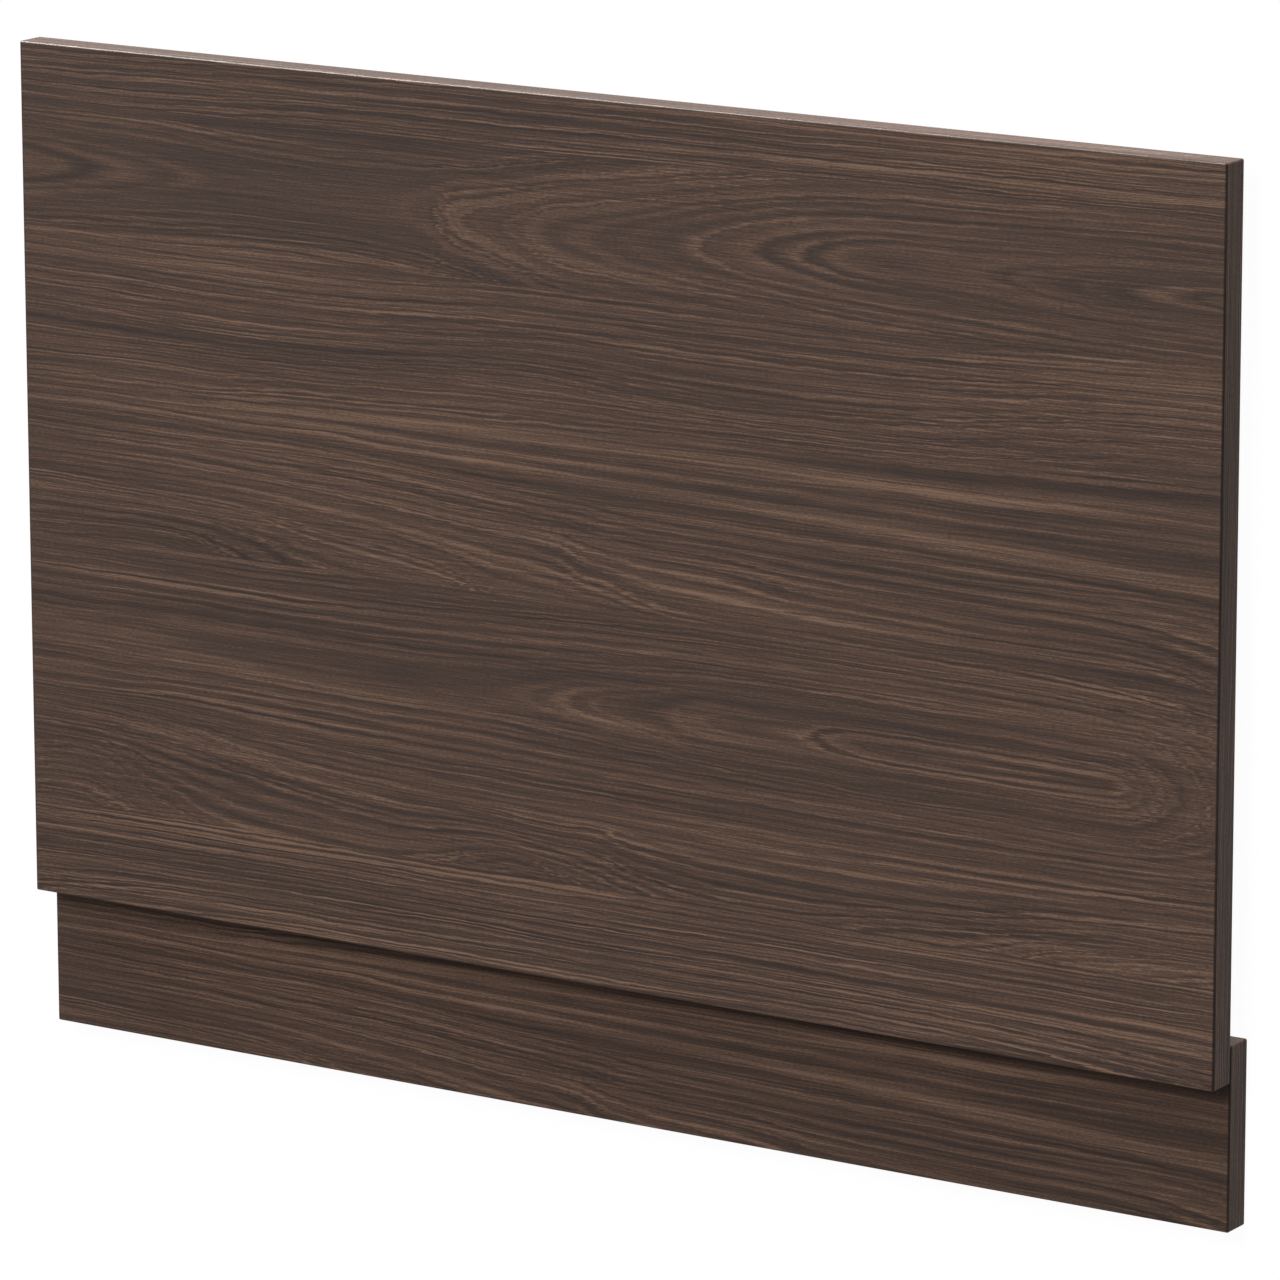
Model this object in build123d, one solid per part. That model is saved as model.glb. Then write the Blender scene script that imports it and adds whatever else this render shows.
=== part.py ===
# A bath end panel lying on its back: a main panel with its plinth screwed behind the lower edge.
# Millimetres, +Z up. X runs along the panel's width, and Y up its height, towards the bath rim.
# The decorative faces look up, and the back of the plinth lies on the floor at Z = 0.
# The origin is on the floor, under the middle of the whole outline.
import os

from build123d import *

# Both boards are cut to the same width and have the same rounded edging.
board_width = 750.0
edge_radius = 1.0

# The main panel covers the end of the bath, from the rim down.
panel_height = 480.0
panel_thickness = 18.0

# The plinth meets the floor. It lies flat against the back of the main panel and reaches up behind it.
plinth_height = 100.0
plinth_thickness = 18.0
plinth_overlap = 20.0

# Countersunk wood screws hold the plinth, in a row along the middle of the overlap.
screw_count = 4
screw_end_inset = 60.0
screw_length = 30.0
clearance_hole_radius = 2.25
pilot_hole_radius = 1.5
countersink_radius = 4.5
countersink_angle = 90.0

# Where the boards and screws lie, worked out from the sizes above.
total_height = panel_height + plinth_height - plinth_overlap
bottom_y = -total_height / 2
top_y = total_height / 2
plinth_top_y = bottom_y + plinth_height
panel_bottom_y = plinth_top_y - plinth_overlap
panel_back_z = plinth_thickness
screw_y = plinth_top_y - plinth_overlap / 2
screw_span = board_width - 2 * screw_end_inset
screw_row = [Pos(x, screw_y, 0) for x in (screw_span * (i / (screw_count - 1) - 0.5) for i in range(screw_count))]


def edged_board(low_y, height, low_z, thickness):
    """A board across the full width, with all its edges and corners eased as the edging is."""
    board = Box(board_width, height, thickness, align=(Align.CENTER, Align.MIN, Align.MIN))
    return Pos(0, low_y, low_z) * fillet(board.edges(), radius=edge_radius)


def make_main_panel():
    """The front board. Its back has a blind pilot hole for each screw."""
    panel = edged_board(panel_bottom_y, panel_height, panel_back_z, panel_thickness)
    pilot_depth = screw_length - plinth_thickness
    pilot = Cylinder(pilot_hole_radius, pilot_depth, align=(Align.CENTER, Align.CENTER, Align.MIN))
    for place in screw_row:
        panel -= place * Pos(0, 0, panel_back_z) * pilot
    return panel


def make_plinth():
    """The lower board. Each screw hole goes right through it and is countersunk from its back."""
    plinth = edged_board(bottom_y, plinth_height, 0, plinth_thickness)
    past_the_face = 2 * plinth_thickness
    hole = Rot(180, 0, 0) * CounterSinkHole(
        clearance_hole_radius, countersink_radius, past_the_face, countersink_angle
    )
    for place in screw_row:
        plinth -= place * hole
    return plinth


os.makedirs("parts", exist_ok=True)
export_step(make_main_panel(), "parts/main_panel.step")
export_step(make_plinth(), "parts/plinth.step")
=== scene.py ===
from math import cos, pi, radians, sin

import bpy
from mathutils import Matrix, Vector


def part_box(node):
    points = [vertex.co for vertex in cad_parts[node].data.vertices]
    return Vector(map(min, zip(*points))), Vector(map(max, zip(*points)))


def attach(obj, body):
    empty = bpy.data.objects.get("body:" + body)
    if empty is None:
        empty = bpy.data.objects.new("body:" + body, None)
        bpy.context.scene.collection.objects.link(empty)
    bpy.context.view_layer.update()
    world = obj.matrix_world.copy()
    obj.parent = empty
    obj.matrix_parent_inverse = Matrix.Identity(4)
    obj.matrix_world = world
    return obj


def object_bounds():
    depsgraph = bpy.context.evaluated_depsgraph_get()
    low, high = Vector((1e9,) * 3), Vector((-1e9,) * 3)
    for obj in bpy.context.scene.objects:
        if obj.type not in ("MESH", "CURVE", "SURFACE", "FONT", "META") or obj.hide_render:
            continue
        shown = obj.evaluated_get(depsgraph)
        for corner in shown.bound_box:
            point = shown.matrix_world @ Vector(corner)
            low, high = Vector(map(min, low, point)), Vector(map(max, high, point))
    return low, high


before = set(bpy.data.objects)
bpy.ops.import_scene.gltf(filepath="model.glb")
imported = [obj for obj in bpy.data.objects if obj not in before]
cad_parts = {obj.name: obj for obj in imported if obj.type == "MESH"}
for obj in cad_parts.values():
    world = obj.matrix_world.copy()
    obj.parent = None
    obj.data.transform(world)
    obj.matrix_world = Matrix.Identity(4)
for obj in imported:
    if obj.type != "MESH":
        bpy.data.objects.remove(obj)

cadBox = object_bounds()
perMetre = 1000.0  # the decor is drawn in millimetres, the part is in metres


# A shader socket that can be added, multiplied and so on. Each sign adds its Math node.
class Signal:
    def __init__(self, tree, socket):
        self.tree = tree
        self.socket = socket

    def maths(self, operation, *others):
        settings = {"operation": operation}
        return addNode(self.tree, "ShaderNodeMath", settings, dict(enumerate((self, *others))))

    def __add__(self, other):
        return self.maths("ADD", other)

    def __sub__(self, other):
        return self.maths("SUBTRACT", other)

    def __rsub__(self, other):
        return self.maths("MULTIPLY", -1) + other

    def __mul__(self, other):
        return self.maths("MULTIPLY", other)

    __radd__ = __add__
    __rmul__ = __mul__


def addNode(tree, kind, settings, inputs, output=0):
    node = tree.nodes.new(kind)
    for name, value in settings.items():
        if name == "stops":
            drawStops(node.color_ramp.elements, value)
        elif name == "points":
            drawCurve(node.mapping, value)
        else:
            setattr(node, name, value)
    for name, value in inputs.items():
        if isinstance(value, Signal):
            tree.links.new(value.socket, node.inputs[name])
        else:
            node.inputs[name].default_value = value
    return Signal(tree, node.outputs[output])


def drawStops(elements, stops):
    while len(elements) < len(stops):
        elements.new(1.0)
    for element, (place, colour) in zip(elements, stops):
        element.position = place
        element.color = (*colour, 1.0)


def drawCurve(mapping, points):
    curve = mapping.curves[0]
    while len(curve.points) < len(points):
        curve.points.new(1.0, 1.0)
    for point, place in zip(curve.points, points):
        point.location = place
    mapping.update()


# A drawn curve, read at a share of its length. Its points are (place, height) in the two spans.
def readCurve(share, points, spanX, spanY):
    (lowX, highX), (lowY, highY) = spanX, spanY
    drawn = [((x - lowX) / (highX - lowX), (y - lowY) / (highY - lowY)) for x, y in points]
    return addNode(share.tree, "ShaderNodeFloatCurve", {"points": drawn}, {"Value": share})


def mixColour(factor, first, second):
    inputs = {0: factor, 6: first, 7: second}
    return addNode(factor.tree, "ShaderNodeMix", {"data_type": "RGBA"}, inputs, output=2)


def mixValue(factor, first, second):
    inputs = {0: factor, 2: first, 3: second}
    return addNode(factor.tree, "ShaderNodeMix", {"data_type": "FLOAT"}, inputs)


def rescale(value, fromSpan, toSpan):
    inputs = {"Value": value}
    inputs["From Min"], inputs["From Max"] = fromSpan
    inputs["To Min"], inputs["To Max"] = toSpan
    return addNode(value.tree, "ShaderNodeMapRange", {}, inputs)


# Where a value lies in a span, from 0 at its low end to 1 at its high end.
def findShare(value, span):
    low, high = span
    return value.maths("MULTIPLY_ADD", 1 / (high - low), -low / (high - low))


def joinPlace(along, down):
    return addNode(along.tree, "ShaderNodeCombineXYZ", {}, {"X": along, "Y": down})


def fitPlace(place, scale, shift):
    settings = {"operation": "MULTIPLY_ADD"}
    return addNode(place.tree, "ShaderNodeVectorMath", settings, {0: place, 1: scale, 2: shift})


# The decor is printed to look like five staves of plain sawn wood, one above the other. Places on it are
# in millimetres from the top left corner of the main panel's face: along runs right, down runs down.
# A stave starts below its joint. Its guides are drawn along its grain, each the same ring all the
# way, and rings are spaced evenly from one guide to the next. A heart lies between two guides of one
# ring: there the rings close into arches, whose tips lie where the drawn curve has that share of the ring.
# The broad bands of a stave run straight along the board, or follow its rings.
decor = {
    "width": 750,
    "height": 480,
    "guideSpan": (-20, 500),
    "staves": [
        {
            "joint": -20,
            "contrast": 1.2,
            "fineness": 1.3,
            "guides": [
                (0, [(0, 0), (100, -1), (180, -4), (750, -5)]),
                (15, [(0, 15.3), (100, 14), (180, 11.3), (500, 10.5), (750, 9.5)]),
                (30, [(0, 30.8), (125, 29.5), (208, 26), (500, 25), (750, 24)]),
                (38, [(0, 38), (750, 33)]),
            ],
        },
        {
            "joint": 30.5,
            "contrast": 1.15,
            "heartContrast": 0.62,
            "fineness": 1.35,
            "guides": [
                (48, [(0, 33.5), (100, 34.5), (150, 38), (200, 40), (250, 39), (300, 38), (330, 33),
                      (350, 30), (400, 24), (450, 18), (550, 8), (650, 5), (750, 2)]),
                (48, [(0, 101), (40, 99.5), (100, 97), (150, 95), (200, 95.5), (250, 98.5), (300, 105),
                      (345, 117), (400, 122), (500, 127), (600, 133), (750, 138)]),
                (60, [(0, 113), (40, 111.5), (100, 109), (200, 108), (300, 117), (345, 129), (750, 150)]),
            ],
            "heart": [
                (0, .72), (50, .75), (95, .775), (118, .79), (160, .8), (235, .81), (262, .795),
                (273, .765), (286, .69), (300, .665), (330, .61), (345, .5625), (378, .52), (400, .49),
                (440, .42), (500, .31), (545, .25), (600, .23), (640, .19), (700, .125), (750, .08),
            ],
        },
        {
            "joint": 104,
            "bandsFollowRings": True,
            "contrast": 1.02,
            "fineness": 1.0,
            "guides": [
                (104, [(0, 104), (100, 106), (200, 107), (340, 102.5), (450, 104), (560, 103), (650, 100),
                       (750, 97)]),
                (114, [(0, 114), (60, 114.5), (110, 116), (200, 117), (270, 115), (340, 112.5), (450, 114),
                       (560, 113), (650, 110), (750, 107)]),
                (143, [(0, 143), (50, 145), (110, 148), (160, 148.5), (220, 147), (270, 144), (340, 140),
                       (400, 142), (470, 144), (560, 143), (620, 139), (660, 135), (750, 132)]),
                (157, [(0, 157), (100, 158), (160, 158), (230, 156), (290, 152), (340, 150), (380, 153),
                       (440, 158), (520, 157), (580, 154), (640, 148), (700, 144), (750, 143)]),
                (178, [(0, 178), (100, 176.5), (130, 177), (160, 174), (200, 172), (300, 169), (400, 168),
                       (560, 167), (650, 162), (700, 157), (750, 155)]),
                (188, [(0, 188), (100, 188), (200, 184), (300, 181), (400, 177), (500, 175), (650, 172),
                       (750, 170)]),
                (197, [(0, 197), (100, 198), (130, 200), (200, 201), (250, 205), (300, 207), (350, 208),
                       (400, 209), (500, 211), (560, 213), (600, 215), (650, 215), (750, 217)]),
                (204, [(0, 204), (100, 206), (150, 206.5), (200, 208), (250, 211), (300, 215), (350, 219),
                       (400, 224), (450, 226), (600, 227), (700, 229), (750, 233)]),
                (219, [(0, 219), (150, 222), (200, 225), (250, 228), (300, 232), (350, 235), (370, 239),
                       (400, 242), (440, 243.5), (460, 245), (500, 250), (550, 253), (600, 254.5),
                       (700, 256), (720, 259), (750, 267)]),
                (229, [(0, 229), (80, 230), (150, 231), (200, 234), (250, 239), (300, 244), (350, 249),
                       (365, 255), (380, 258), (400, 264), (430, 269), (500, 271), (750, 276)]),
                (238, [(0, 238), (50, 239), (100, 241), (150, 243), (180, 247), (200, 250), (250, 255),
                       (290, 263), (300, 268), (350, 276), (500, 282), (750, 284)]),
                (257, [(0, 257), (50, 257), (100, 257.5), (150, 262), (170, 268), (190, 274), (300, 288),
                       (750, 300)]),
                (264, [(0, 265), (60, 263), (110, 264), (125, 268), (140, 272), (160, 280), (300, 300),
                       (750, 312)]),
                (280, [(0, 282), (100, 278), (150, 290), (300, 316), (750, 328)]),
            ],
        },
        {
            "joint": 272.5,
            "contrast": 0.95,
            "heartContrast": 0.9,
            "fineness": 1.1,
            "guides": [
                (56, [(0, 272), (200, 272), (400, 266), (600, 266), (750, 276)]),
                (36, [(0, 292), (200, 292), (300, 290), (400, 286), (500, 285), (600, 286), (680, 288),
                      (720, 292), (750, 300)]),
                (36, [(0, 358), (60, 358), (100, 356), (150, 357), (250, 360), (300, 360), (400, 363),
                      (500, 365), (600, 366), (700, 366), (750, 362)]),
                (52, [(0, 366), (100, 371), (150, 378), (200, 382), (250, 384), (300, 386), (350, 387),
                      (400, 388), (500, 392), (600, 391), (750, 388)]),
                (59, [(0, 372), (100, 377), (150, 383), (200, 388), (250, 391), (300, 393), (350, 396),
                      (375, 395), (390, 399), (420, 403), (500, 407), (550, 407), (600, 405), (650, 400),
                      (750, 395)]),
                (73, [(0, 385), (50, 386), (100, 393), (150, 401), (200, 408), (250, 413), (300, 409),
                      (330, 410), (350, 412), (370, 415), (400, 423), (440, 430), (500, 430), (560, 421),
                      (600, 418), (630, 414), (660, 411), (750, 407)]),
                (85, [(0, 397), (40, 394), (60, 400), (75, 409), (100, 420), (120, 430), (200, 438),
                      (280, 426), (300, 420), (330, 418), (345, 422), (360, 427), (400, 438), (600, 436),
                      (640, 424), (700, 416), (750, 413)]),
                (99, [(0, 411), (30, 409), (50, 413), (75, 424), (90, 434), (200, 450), (300, 434),
                      (330, 428), (350, 436), (500, 450), (650, 440), (750, 426)]),
                (119, [(0, 430), (50, 432), (90, 448), (200, 464), (750, 464)]),
            ],
            "heart": [
                (0, .56), (40, .565), (58, .545), (75, .545), (100, .56), (200, .555), (290, .555),
                (325, .53), (365, .45), (412, .375), (430, .3), (460, .24), (500, .22), (520, .14),
                (560, .06), (670, .04), (698, .14), (708, .28), (721, .44), (738, .64), (750, .78),
            ],
        },
        {
            "joint": 425.4,
            "contrast": 1.28,
            "fineness": 1.4,
            "guides": [
                (0, [(0, 422), (100, 422), (400, 421), (750, 421)]),
                (25, [(0, 450), (100, 448), (300, 447), (500, 447), (750, 446)]),
                (48, [(0, 480), (50, 474), (100, 471.5), (250, 470), (400, 470.5), (560, 470), (640, 473),
                      (700, 478), (750, 484)]),
                (62, [(0, 500), (100, 488), (400, 484), (600, 484), (750, 500)]),
            ],
        },
    ],
}


# The ring that a place in one stave lies on, and how strongly rings show there. Both shares run from 0 to 1
# over the decor's spans.
def findRing(stave, alongShare, downShare):
    spanX, spanY = (0, decor["width"]), decor["guideSpan"]
    guides = stave["guides"]
    lines = [readCurve(alongShare, line, spanX, spanY) for _, line in guides]
    ring = guides[0][0]
    contrast = stave["contrast"]
    for (upperRing, _), (lowerRing, _), upper, lower in zip(guides, guides[1:], lines, lines[1:]):
        if "heart" in stave and upperRing == lowerRing:
            tip = readCurve(alongShare, stave["heart"], spanX, (0, 1))
            side = rescale(downShare, (upper, lower), (-1, 1))
            square = side * side
            arch = (square + (1 - square) * tip * tip).maths("SQRT")
            ring = arch.maths("MULTIPLY_ADD", upperRing, ring - upperRing)
            contrast = (square * (1 - stave["heartContrast"]) + stave["heartContrast"]) * contrast
        else:
            ring = rescale(downShare, (upper, lower), (0, lowerRing - upperRing)) + ring
    return ring, contrast


grain = {
    # How far the grain wanders off its drawn course, in millimetres. A wander's length along the grain and
    # width across it are in millimetres too, and its layer keeps its noise apart from the others.
    "drift": {"length": 130, "width": 10, "octaves": 1, "layer": 30, "amount": 2.4},
    "shiver": {"length": 12, "width": 2, "octaves": 0, "layer": 70, "amount": 0.8},
    "wobble": {"length": 32, "width": 7, "octaves": 1, "layer": 90, "amount": 1.5},
    "comb": {"length": 15, "width": 0.8, "octaves": 0, "layer": 150, "amount": 12.0},
    "threadDrift": 2,  # the threads drift this many times as far
    # Rings at an even spacing, in millimetres of ring, shifted by a jitter in radians.
    "ringSpacing": 3.8,
    "ringJitter": {"length": 700, "width": 7, "octaves": 0, "layer": 290, "amount": 12.0},
    "ringStrength": {"length": 110, "width": 4, "octaves": 1, "layer": 110, "amount": 2.0},
    "staveStep": 3,  # keeps each stave's noise its own, in rings for each millimetre down
    # What each part adds to the level.
    "evenRings": 0.15,
    "looseRings": {"length": 400, "width": 1.05, "octaves": 1, "rough": 0.8, "layer": 190, "amount": 0.8},
    "threads": {"length": 260, "width": 0.85, "octaves": 1, "rough": 0.8, "layer": 330, "amount": 0.84},
    "fibre": {"length": 22, "width": 0.6, "octaves": 0, "layer": 170, "amount": 0.28},
    "speckle": {"length": 2.4, "width": 0.6, "octaves": 0, "layer": 210, "amount": 0.34},
    "boldRings": {"length": 600, "width": 3, "octaves": 0, "layer": 490, "amount": 0.36},
    "broadBands": {"length": 500, "width": 20, "octaves": 1, "layer": 450, "amount": 0.38},
    "middle": 0.355,  # the level of plain wood
    "lift": 0.6,  # how much the light streaks gain on the dark lines
    # The texture that can be felt, as a height in millimetres.
    "relief": {"length": 9, "width": 0.45, "octaves": 0, "layer": 410, "amount": 0.04},
}


# One part of the grain, as noise about zero.
def growGrain(name, place):
    part = grain[name]
    spot = fitPlace(place, (1 / part["length"], 1 / part["width"], 0), (part["layer"], 0, 0))
    rough = part.get("rough", 0.5)
    inputs = {"Vector": spot, "Scale": 1, "Detail": part["octaves"], "Roughness": rough}
    noise = addNode(place.tree, "ShaderNodeTexNoise", {"noise_dimensions": "2D"}, inputs)
    return (noise - 0.5) * part["amount"]


# The level of the whole decor, from dark 0 to light 1.
def drawDecor(along, down):
    place = joinPlace(along, down)
    drift = growGrain("drift", place)
    wandered = down + drift + growGrain("shiver", place) + growGrain("wobble", place)
    alongShare = (along + growGrain("comb", place)) * (1 / decor["width"])
    downShare = findShare(wandered, decor["guideSpan"])
    found = None
    for stave in decor["staves"]:
        ring, contrast = findRing(stave, alongShare, downShare)
        course = ring if stave.get("bandsFollowRings") else down + drift
        ring = ring * stave["fineness"]
        if found is None:
            found = (ring, contrast, course)
        else:
            below = down.maths("GREATER_THAN", stave["joint"])
            ring = ring + stave["joint"] * grain["staveStep"]
            pairs = zip(found, (ring, contrast, course))
            found = [mixValue(below, above, here) for above, here in pairs]
    ring, contrast, course = found
    ringPlace = joinPlace(along, ring)
    wave = ring * (2 * pi / grain["ringSpacing"]) + growGrain("ringJitter", ringPlace)
    rings = wave.maths("SINE") * grain["evenRings"] + growGrain("looseRings", ringPlace)
    strength = growGrain("ringStrength", ringPlace) + 1
    threads = growGrain("threads", joinPlace(along, down + drift * grain["threadDrift"]))
    lines = growGrain("boldRings", ringPlace) + rings * strength + threads
    fine = growGrain("fibre", place) + growGrain("speckle", place)
    level = lines * contrast + fine + growGrain("broadBands", joinPlace(along, course))
    return level + level * level * grain["lift"] + grain["middle"]


facedBoard = {
    # colours from the darkest line to the lightest streak
    "tones": [
        (0.0, (0.035, 0.024, 0.020)),
        (0.3, (0.068, 0.043, 0.033)),
        (0.6, (0.115, 0.070, 0.050)),
        (1.0, (0.195, 0.120, 0.085)),
    ],
    "roughness": 0.5,
    "polish": 0.15,  # how much smoother the lightest streak is
    "shine": 0.06,  # low, because the white floor lies all round
    # in millimetres: how deep the edge band reaches, where its decor is cut from, the width of the painted
    # shade down the end roundings
    "edgeBand": 0.5,
    "edgeCourse": 270.0,
    "endCourse": 155.0,
    "roundingShadeWidth": 1.3,
    # painted shade: the colour and strength of the dark line painted down the end roundings, which turn
    # away from the light
    "roundingShadeColour": (0.008, 0.006, 0.005, 1.0),
    "roundingShadeDark": 0.7,
    "endPaintedShade": 0.2,  # the share of the painted shade's colour on the ends, painted shade for their less lit sides
}


# How deep a place lies under the nearer of two opposite faces, in millimetres.
def findDepth(place, low, high):
    return ((high - low) / 2 - (place - (high + low) / 2).maths("ABSOLUTE")) * perMetre


def makeFacedBoard(name, materialName, decorShift):
    material = bpy.data.materials.new(materialName)
    material.use_nodes = True
    tree = material.node_tree
    shader = tree.nodes["Principled BSDF"]
    place = addNode(tree, "ShaderNodeTexCoord", {}, {}, output=3)
    split = addNode(tree, "ShaderNodeSeparateXYZ", {}, {"Vector": place}).socket.node
    x, y, z = (Signal(tree, socket) for socket in split.outputs)
    low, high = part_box(name)
    left, top = cadBox[0][0], cadBox[1][1]
    underEnd = findDepth(x, low.x, high.x)
    underEdge = findDepth(y, low.y, high.y)
    underFace = (high.z - z) * perMetre
    onEnd = underEnd.maths("LESS_THAN", facedBoard["edgeBand"])
    onEdge = underEdge.maths("LESS_THAN", facedBoard["edgeBand"])

    # the edge band's grain runs along each edge, so on the ends the decor is read the other way
    along = mixValue(onEnd, (x - left) * perMetre, (top - y) * perMetre)
    onFace = (top - y) * perMetre - decorShift
    down = mixValue(onEdge, onFace, underFace + facedBoard["edgeCourse"])
    down = mixValue(onEnd, down, underFace + facedBoard["endCourse"])
    level = drawDecor(along, down)
    colour = addNode(tree, "ShaderNodeValToRGB", {"stops": facedBoard["tones"]}, {"Fac": level})

    # painted shade: the ends are painted a shade darker, and a dark line of painted shade runs down the
    # roundings of their edges, front and back, darkest halfway round
    width = facedBoard["roundingShadeWidth"]
    underBoard = findDepth(z, low.z, high.z)
    roundingShade = (width - underEnd).maths("MAXIMUM", 0) * (width - underBoard).maths("MAXIMUM", 0)
    roundingShade = (roundingShade * (2 / width**2)).maths("SQRT") * facedBoard["roundingShadeDark"]
    # painted shade: the darker ends and the dark line down their roundings, whichever is stronger
    shade = roundingShade.maths("MAXIMUM", onEnd * facedBoard["endPaintedShade"])
    colour = mixColour(shade, colour, facedBoard["roundingShadeColour"])
    tree.links.new(colour.socket, shader.inputs["Base Color"])

    roughness = facedBoard["roughness"] - level * facedBoard["polish"]
    tree.links.new(roughness.socket, shader.inputs["Roughness"])
    bump = {"Height": growGrain("relief", joinPlace(along, down)), "Distance": 1 / perMetre}
    normal = addNode(tree, "ShaderNodeBump", {}, bump)
    tree.links.new(normal.socket, shader.inputs["Normal"])
    shader.inputs["Specular IOR Level"].default_value = facedBoard["shine"]
    return material


# Each board's material, and how far up the decor it is cut from, in millimetres.
boards = {
    "main_panel": ("panelDecor", 0.0),
    "plinth": ("plinthDecor", 306.7),
}


def dressBoards():
    for name, (materialName, decorShift) in boards.items():
        material = makeFacedBoard(name, materialName, decorShift)
        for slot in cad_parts[name].material_slots:
            slot.link = "OBJECT"
            slot.material = material


dressBoards()
print("boards dressed")


# Countersunk wood screws that hold the plinth from behind, heads flush with its back. Sizes in metres.
screw = {
    "places": [(-0.315, -0.19), (-0.105, -0.19), (0.105, -0.19), (0.315, -0.19)],
    "sides": 40,
    "headRadius": 0.0042,
    "headRim": 0.0003,
    "headSlope": 0.0020,
    "neckRadius": 0.0019,
    "neckLength": 0.0155,
    "neckTaper": 0.0006,
    "coreRadius": 0.0013,
    "coreLength": 0.0090,
    "tipLength": 0.0030,
    "tipShare": 0.08,  # the tip's width as a share of the core's
    "recessLength": 0.0046,
    "recessWidth": 0.0010,
    "recessDepth": 0.0016,
    "recessBevel": 0.0003,
    "smoothAngle": 35.0,
    "zincDark": (0.58, 0.57, 0.52, 1.0),
    "zincPale": (0.74, 0.72, 0.66, 1.0),
    "stainScale": 900.0,
    "stainOctaves": 3.0,
    "smoothest": 0.25,
    "dulling": 0.2,  # how much rougher the stains can be
}


def makeScrewMetal():
    material = bpy.data.materials.new("zincScrew")
    material.use_nodes = True
    tree = material.node_tree
    shader = tree.nodes["Principled BSDF"]
    place = addNode(tree, "ShaderNodeTexCoord", {}, {}, output=3)
    inputs = {"Vector": place, "Scale": screw["stainScale"], "Detail": screw["stainOctaves"]}
    stain = addNode(tree, "ShaderNodeTexNoise", {}, inputs)
    colour = mixColour(stain, screw["zincDark"], screw["zincPale"])
    tree.links.new(colour.socket, shader.inputs["Base Color"])
    roughness = stain * screw["dulling"] + screw["smoothest"]
    tree.links.new(roughness.socket, shader.inputs["Roughness"])
    shader.inputs["Metallic"].default_value = 1.0
    return material


def applyPlace(piece):
    bpy.ops.object.select_all(action="DESELECT")
    piece.select_set(True)
    bpy.context.view_layer.objects.active = piece
    bpy.ops.object.transform_apply(location=True, rotation=True, scale=True)


# Extrudes the selected end upwards, scales it about its middle and gives its new height.
def extrudeEnd(centre, height, length, scale):
    bpy.ops.mesh.extrude_region_move(TRANSFORM_OT_translate={"value": (0, 0, length)})
    end = (*centre, height + length)
    bpy.ops.transform.resize(value=(scale, scale, 1.0), center_override=end)
    return height + length


def makeScrew():
    centre = screw["places"][0]
    rim = screw["headRim"]
    bpy.ops.object.select_all(action="DESELECT")
    bpy.ops.mesh.primitive_cylinder_add(
        vertices=screw["sides"], radius=screw["headRadius"], depth=rim, location=(*centre, rim / 2)
    )
    body = bpy.context.object
    body.name = "screw_1"
    for face in body.data.polygons:
        face.select = face.normal.z > 0.9  # the head's upper end
    bpy.ops.object.mode_set(mode="EDIT")
    bpy.ops.mesh.select_mode(type="FACE")
    height = extrudeEnd(centre, rim, screw["headSlope"], screw["neckRadius"] / screw["headRadius"])
    height = extrudeEnd(centre, height, screw["neckLength"], 1.0)
    height = extrudeEnd(centre, height, screw["neckTaper"], screw["coreRadius"] / screw["neckRadius"])
    height = extrudeEnd(centre, height, screw["coreLength"], 1.0)
    extrudeEnd(centre, height, screw["tipLength"], screw["tipShare"])
    bpy.ops.object.mode_set(mode="OBJECT")
    return body


# Cuts the cross for the driver, one blade and then the same blade turned.
def cutRecess(body):
    bpy.ops.object.select_all(action="DESELECT")
    bpy.ops.mesh.primitive_cube_add(size=1.0, location=(*screw["places"][0], 0.0))
    blade = bpy.context.object
    blade.scale = (screw["recessLength"], screw["recessWidth"], 2 * screw["recessDepth"])
    bpy.ops.object.transform_apply(location=False, rotation=False, scale=True)
    bpy.ops.object.mode_set(mode="EDIT")
    bpy.ops.mesh.select_all(action="SELECT")
    bpy.ops.mesh.bevel(offset=screw["recessBevel"], segments=1)
    bpy.ops.object.mode_set(mode="OBJECT")
    for turn in (0.0, 90.0):
        blade.rotation_euler.z = radians(turn)
        bpy.context.view_layer.objects.active = body
        cut = body.modifiers.new("recess", "BOOLEAN")
        cut.operation = "DIFFERENCE"
        cut.solver = "EXACT"
        cut.object = blade
        bpy.ops.object.modifier_apply(modifier=cut.name)
    bpy.data.objects.remove(blade, do_unlink=True)


def placeScrews():
    metal = makeScrewMetal()
    first = makeScrew()
    cutRecess(first)
    bpy.ops.object.select_all(action="DESELECT")
    first.select_set(True)
    bpy.context.view_layer.objects.active = first
    bpy.ops.object.shade_smooth_by_angle(angle=radians(screw["smoothAngle"]))
    first.data.materials.append(metal)
    applyPlace(first)
    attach(first, "root")
    for number, place in enumerate(screw["places"][1:], start=2):
        copy = first.copy()
        copy.data = first.data.copy()
        copy.name = f"screw_{number}"
        bpy.context.collection.objects.link(copy)
        copy.location.x = place[0] - screw["places"][0][0]
        applyPlace(copy)
        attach(copy, "root")


placeScrews()
print("screws placed")


# The camera of the photograph, square on to the face and then swung to its right and upwards.
shot = {
    "place": (2.225, 0.941, 3.447),
    "swing": 32.79,
    "dip": 13.14,  # the angles are in degrees, the lens and the sensor in millimetres
    "roll": -0.12,
    "lens": 222.0,
    "sensor": 36.0,
    "farEnd": 50.0,
}


def makeCamera():
    camera = bpy.data.objects.new("photoCamera", bpy.data.cameras.new("photoCamera"))
    bpy.context.collection.objects.link(camera)
    camera.location = shot["place"]
    camera.rotation_mode = "ZXY"
    camera.rotation_euler = (radians(-shot["dip"]), radians(shot["swing"]), radians(shot["roll"]))
    camera.data.sensor_width = shot["sensor"]
    camera.data.lens = shot["lens"]
    camera.data.clip_end = shot["farEnd"]
    bpy.context.scene.camera = camera


makeCamera()
print("camera placed")


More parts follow.
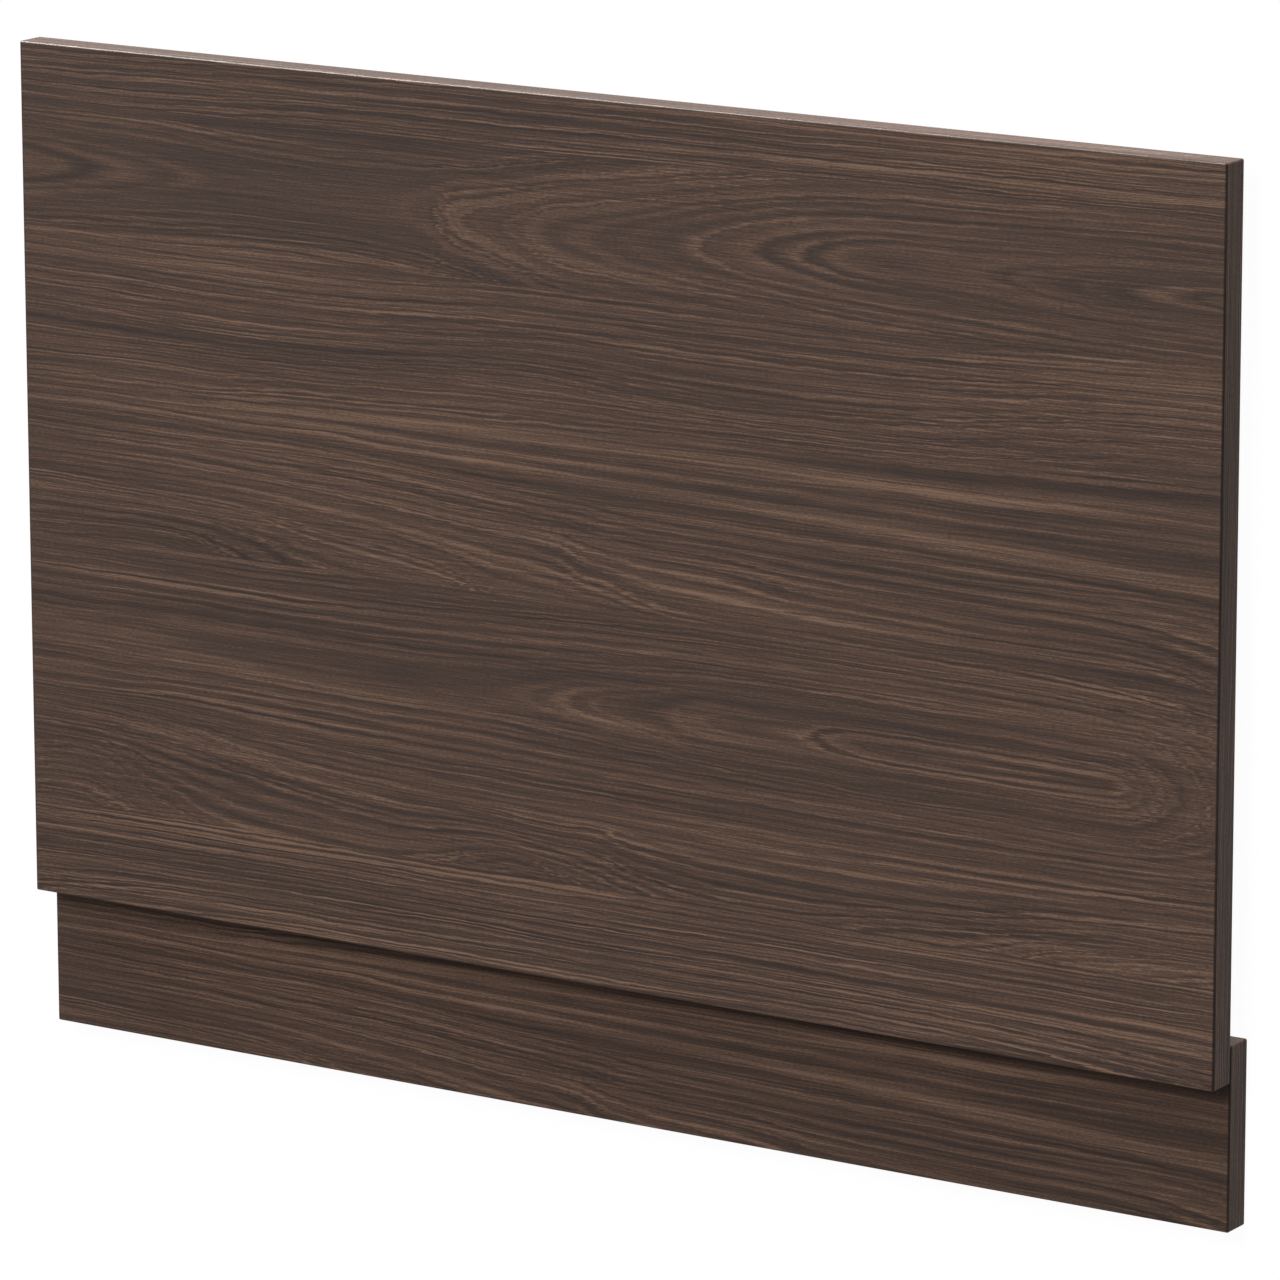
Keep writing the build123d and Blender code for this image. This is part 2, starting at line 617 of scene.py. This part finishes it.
studio = {
    "floorSize": 14.0,
    "floorColour": (0.72, 0.72, 0.72, 1.0),
    "floorRoughness": 0.9,
    "floorGlow": 1.03,
    "floorWhite": 0.94,  # the share of the floor that shows plain white, the rest keeps the shadow
    "worldStrength": 0.2,
    "keyPlace": (0.3, 2.8, 4.72),
    "keySize": 1.92,
    "keyPower": 208.0,
    "rimDistance": 3.0,
    "rimElevation": 3.0,
    "rimStrength": 7.2,
    "rimAngle": 12.0,
    "glintPlace": (-2.25, 2.3, 0.67),
    "glintSize": 1.3,
    "glintPower": 1550.0,
}


# 1 for rays that show the background: from the camera, off a glossy surface or through a clear one.
def findShowing(tree):
    paths = addNode(tree, "ShaderNodeLightPath", {}, {}).socket.node
    names = ("Is Camera Ray", "Is Glossy Ray", "Is Transmission Ray")
    camera, glossy, clear = (Signal(tree, paths.outputs[name]) for name in names)
    return camera.maths("MAXIMUM", glossy).maths("MAXIMUM", clear)


# A pale floor that shows white, with a little of the object's shadow kept.
def makeFloor():
    bpy.ops.object.select_all(action="DESELECT")
    bpy.ops.mesh.primitive_plane_add(size=studio["floorSize"], location=(0, 0, cadBox[0][2]))
    floor = bpy.context.object
    floor.name = "floor"
    material = bpy.data.materials.new("paleFloor")
    material.use_nodes = True
    tree = material.node_tree
    pale = tree.nodes["Principled BSDF"]
    pale.inputs["Base Color"].default_value = studio["floorColour"]
    pale.inputs["Roughness"].default_value = studio["floorRoughness"]
    pale.inputs["Specular IOR Level"].default_value = 0.0
    white = addNode(tree, "ShaderNodeEmission", {}, {"Strength": studio["floorGlow"]})
    inputs = {0: findShowing(tree) * studio["floorWhite"], 1: Signal(tree, pale.outputs[0]), 2: white}
    surface = addNode(tree, "ShaderNodeMixShader", {}, inputs)
    tree.links.new(surface.socket, tree.nodes["Material Output"].inputs["Surface"])
    floor.data.materials.append(material)


def makeWorld():
    world = bpy.data.worlds.new("studioWorld")
    bpy.context.scene.world = world
    world.use_nodes = True
    tree = world.node_tree
    background = tree.nodes["Background"]
    strength = mixValue(findShowing(tree), studio["worldStrength"], 1.0)
    tree.links.new(strength.socket, background.inputs["Strength"])
    background.inputs["Color"].default_value = (1, 1, 1, 1)


# A lamp that looks at the middle of the part.
def addLamp(name, kind, place, power):
    lamp = bpy.data.objects.new(name, bpy.data.lights.new(name, kind))
    lamp.data.energy = power
    lamp.location = place
    lamp.rotation_euler = (-lamp.location).to_track_quat("-Z", "Y").to_euler()
    bpy.context.collection.objects.link(lamp)
    return lamp


def makeLights():
    key = addLamp("keySoftbox", "AREA", studio["keyPlace"], studio["keyPower"])
    key.data.size = studio["keySize"]
    rise = radians(studio["rimElevation"])
    rimPlace = (0, studio["rimDistance"] * cos(rise), studio["rimDistance"] * sin(rise))
    rim = addLamp("rimSun", "SUN", rimPlace, studio["rimStrength"])
    rim.data.angle = radians(studio["rimAngle"])
    glint = addLamp("edgeGlint", "AREA", studio["glintPlace"], studio["glintPower"])
    glint.data.size = studio["glintSize"]
    glint.visible_diffuse = False  # it only glints on the rounded edge that faces it


makeFloor()
makeWorld()
makeLights()
bpy.context.scene.view_settings.view_transform = "Standard"
print("studio set")
